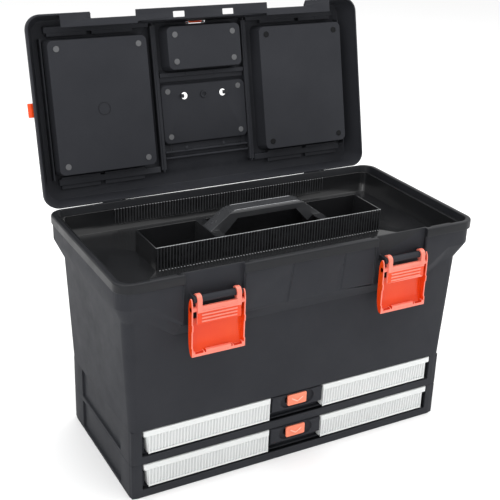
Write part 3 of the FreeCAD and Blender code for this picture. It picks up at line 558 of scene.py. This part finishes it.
# ---------------------------------------------------------------- drawers


LEVEL_RISE = 58.0
LEVELS = (("upper", LEVEL_RISE), ("lower", 0.0))
BIN_RIBS = 40
BIN_WALL = (-126.7, -124.0)


def bin_ribs(level, side, z0):
    """Fine upright ribs across a bin's front, framed by a flange below and a border at each end."""
    lo, hi = edge_of(level + ("_left_bin" if side < 0 else "_right_bin"))
    inner, outer = (hi.x, lo.x) if side < 0 else (lo.x, hi.x)
    a, b = sorted((inner + side * 3.0, outer - side * 9.0))

    def add(bm):
        low, high = z0 + 18.5, z0 + 48.4
        for i in range(BIN_RIBS):
            x = a + (b - a) * i / (BIN_RIBS - 1)
            v = [bm.verts.new((x + dx, lo.y + y, z)) for y0, y1, z in ((4.6, 2.6, low), (2.6, 0.8, high))
                 for dx, y in ((-1.35, y0), (-1.0, y1), (1.0, y1), (1.35, y0))]
            around = [(v[k], v[(k + 1) % 4], v[(k + 1) % 4 + 4], v[k + 4]) for k in range(4)]
            faces(bm, [v[3::-1], v[4:]] + around)
        slab(bm, a - 1.8, b + 1.8, lo.y + 1.6, lo.y + 5.0, z0 + 17.0, z0 + 19.6)
        for near, far in ((a - 1.8, a - 0.2), (b + 0.2, b + 1.8)):
            slab(bm, near, far, lo.y + 1.0, lo.y + 5.0, z0 + 17.0, z0 + 48.4)
    return add


def bin_valley_shade_paint(centre, normal):
    """The wall between the ribs is painted a darker white as painted shade; the ribs and the lip keep the
    lighter tone.
    """
    facing = normal.y < -0.9 and abs(normal.x) < 0.1
    return 1 if facing and BIN_WALL[0] < centre.y < BIN_WALL[1] and centre.z % LEVEL_RISE < 48 else 0


def ridge_paint(centre, normal):
    """The raised V ridge's front face is painted paler."""
    return 1 if normal.y < -0.9 and centre.y < -128.7 and abs(centre.x) < 8 else 0


def slide_ridge(level, z0):
    """A raised V on the thumb slide."""
    def add(bm):
        low_v = [(-10, z0 + 46), (0, z0 + 40), (10, z0 + 46)]
        outline = low_v + [(x, z + 2.2) for x, z in low_v[::-1]]
        front = edge_of(level + "_drawer_latch")[0].y - 0.35
        low = [bm.verts.new((x, front, z)) for x, z in outline]
        high = [bm.verts.new((x, front + 1.6, z)) for x, z in outline]
        quads = ((0, 1, 4, 5), (1, 2, 3, 4))
        faces(bm, [[low[i] for i in q] for q in quads] + [[high[i] for i in q[::-1]] for q in quads])
        for i in range(6):
            k = (i + 1) % 6
            faces(bm, [(low[k], low[i], high[i], high[k])])
    return add


for level, z0 in LEVELS:
    body = level + "_drawer"
    detailed(level + "_drawer_carrier", level + "_carrier_body", body, [BODY], 0.6)
    for side, word in ((-1, "left"), (1, "right")):
        detailed(level + "_" + word + "_bin", level + "_" + word + "_ribbed_bin", body,
                 [MILKY, MILKY_SHADE], 0.3, bin_ribs(level, side, z0), paint=bin_valley_shade_paint)
    detailed(level + "_drawer_latch", level + "_thumb_slide", level + "_slide_latch",
             [SALMON, PALE_SALMON], 0.25, slide_ridge(level, z0), paint=ridge_paint)


# ---------------------------------------------------------------- lid, its covers and handle


# Heights of the lid's inner faces as it lies shut.
POCKET = 373.0
HANDLE_PLATE = 393.0
WEB = 402.5
MOULD_RING = (-186, 3)
POCKETS = ((104, 269, -108, 103), (-269, -104, -108, 103), (-67, 67, -118, -48))


def mirrored(side, near, far):
    return sorted((side * near, side * far))


def lid_detail(bm):
    """Ejector marks, a boss, rails and stepped strips on the underside of the lid."""
    for x0, x1, y0, y1 in POCKETS:
        for x in (x0 + 14, x1 - 14):
            for y in (y0 + 13, y1 - 13):
                disc(bm, x, y, 5.2, POCKET - 0.45, POCKET + 0.4)
    ring(bm, *MOULD_RING, 9.4, 10.4, POCKET - 0.28, POCKET + 0.3)
    for x in (-66, 66):
        for y in (-12, 64):
            disc(bm, x, y, 5.0, HANDLE_PLATE - 0.9, HANDLE_PLATE)
    ring(bm, 0, -3, 3.4, 6.4, HANDLE_PLATE - 2.6, HANDLE_PLATE)
    for x, y in ((-30, -39.5), (22, -39.5), (-40, 84), (30, 84)):
        disc(bm, x, y, 2.6, HANDLE_PLATE - 2.4, HANDLE_PLATE)
    for side in (-1, 1):
        for x0, x1 in ((118, 188), (196, 262)):
            a, b = mirrored(side, x0, x1)
            slab(bm, a, b, -121.5, -114.5, WEB - 8.5, WEB + 0.5)
            slab(bm, a, b, 107.5, 114.0, WEB - 8.5, WEB + 0.5)
            slab(bm, a, b, 118.0, 128.0, WEB - 5.0, WEB + 0.5)
        for x in (150, 232):
            for y in (-118.5, 110.7):
                disc(bm, side * x, y, 2.6, WEB - 9.1, WEB - 8)
        a, b = mirrored(side, 273.5, 276.0)
        slab(bm, a, b, -112, 112, WEB - 14, WEB + 0.5)
        a, b = mirrored(side, 79.5, 88.5)
        slab(bm, a, b, -122, 118, WEB - 10.5, WEB + 0.5)


def lid_paint(centre, normal):
    """Ejector marks painted as lit and shaded copies: painted highlight on the left and middle pockets,
    painted shade on the right.
    """
    spot = LID_OPEN.inverted() @ centre
    if POCKET - 1 < spot.z < POCKET - 0.3:
        if math.hypot(spot.x - MOULD_RING[0], spot.y - MOULD_RING[1]) < 14:
            return 0
        # Painted highlight on the left and middle marks, painted shade on the right.
        return 2 if spot.x > 100 else 1
    # The handle plate's marks take the painted highlight too.
    near_x = abs(abs(spot.x) - 66) < 6
    near_y = min(abs(spot.y + 12), abs(spot.y - 64)) < 6
    return 1 if abs(spot.z - HANDLE_PLATE + 1.0) < 0.4 and near_x and near_y else 0


detailed("lid", "lid_shell", "lid", [BODY, LIT_MARK, SHADED_MARK], 0.8, lid_detail, closed=True,
         paint=lid_paint)
detailed("cover_hinge_pins", "cover_pins", "lid", [ROSY], 0.25)
detailed("handle_brackets", "handle_clips", "lid", [FRAMES], 0.5)


def grip_ribs(bm):
    """Low ribs across the underside of the grip."""
    for i in range(13):
        x = -42 + i * 7.0
        slab(bm, x - 1.1, x + 1.1, 49.0, 65.0, 396.2, 397.4)


detailed("carry_handle", "folding_grip", "handle", [FRAMES], 1.4, grip_ribs, closed=True)
for word in ("left", "right", "front"):
    detailed(word + "_organizer_cover", word + "_clear_cover", word + "_cover", [SMOKE], 0.5)
    detailed(word + "_cover_clip", word + "_clip_body", word + "_clip", [ORANGE], 0.5)


# ---------------------------------------------------------------- floor, light and camera


FLOOR_GAP_M = 0.0004


def studio():
    bm = bmesh.new()
    bmesh.ops.create_grid(bm, x_segments=8, y_segments=8, size=40.0)
    mesh = bpy.data.meshes.new("studio_floor")
    bm.to_mesh(mesh)
    bm.free()
    g = Graph("studio_white")
    whites = [(0.3, (0.93, 0.93, 0.93)), (0.7, (0.96, 0.96, 0.96))]
    g.feed("Base Color", g.ramp(g.noise(0.4, 2.0, 0.5), whites))
    g.set(Roughness=0.9, Specular_IOR_Level=0.0)
    mesh.materials.append(g.material)
    floor = bpy.data.objects.new("studio_floor", mesh)
    floor.location.z = -FLOOR_GAP_M
    bpy.context.scene.collection.objects.link(floor)
    world = bpy.data.worlds.new("studio_air")
    world.use_nodes = True
    world.node_tree.nodes["Background"].inputs["Color"].default_value = (1.0, 1.0, 1.0, 1.0)
    world.node_tree.nodes["Background"].inputs["Strength"].default_value = 0.95
    bpy.context.scene.world = world


def soft_light(name, place, target, size, power):
    data = bpy.data.lights.new(name, "AREA")
    data.shape = "RECTANGLE"
    data.size, data.size_y = size
    data.energy = power
    lamp = bpy.data.objects.new(name, data)
    lamp.location = place
    lamp.rotation_euler = (Vector(target) - Vector(place)).to_track_quat("-Z", "Y").to_euler()
    bpy.context.scene.collection.objects.link(lamp)


studio()
soft_light("overhead_box", (0.0, 0.2, 2.6), (0.0, 0.0, 0.0), (3.6, 3.0), 62.0)
soft_light("left_box", (-2.2, -1.3, 1.5), (0.0, 0.0, 0.3), (1.2, 1.8), 12.0)
soft_light("right_strip", (1.9, -0.6, 1.3), (0.0, 0.0, 0.35), (0.5, 1.6), 14.0)


AZIMUTH, ELEVATION, ROLL = (math.radians(degrees) for degrees in (-29.79, 22.29, 2.40))
DISTANCE = 1.57022
TARGET = Vector((0.0, 0.0, 0.34364))
LENS = 71.34


def photo_camera():
    """The photograph's view: azimuth, elevation, roll and distance round a target."""
    level = math.cos(ELEVATION)
    back = Vector((math.sin(AZIMUTH) * level, -math.cos(AZIMUTH) * level, math.sin(ELEVATION)))
    forward = -back
    right = forward.cross(Vector((0, 0, 1))).normalized()
    up = right.cross(forward)
    turned_right = right * math.cos(ROLL) + up * math.sin(ROLL)
    turned_up = -right * math.sin(ROLL) + up * math.cos(ROLL)
    data = bpy.data.cameras.new("photo_camera")
    data.sensor_width = 36.0
    data.lens = LENS
    data.shift_x = -0.0279
    data.shift_y = -0.0431
    data.clip_start = 0.05
    data.clip_end = 200.0
    camera = bpy.data.objects.new("photo_camera", data)
    basis = Matrix((turned_right, turned_up, back)).transposed().to_4x4()
    camera.matrix_world = Matrix.Translation(TARGET + back * DISTANCE) @ basis
    bpy.context.scene.collection.objects.link(camera)
    bpy.context.scene.camera = camera


photo_camera()
bpy.context.scene.view_settings.view_transform = "Standard"
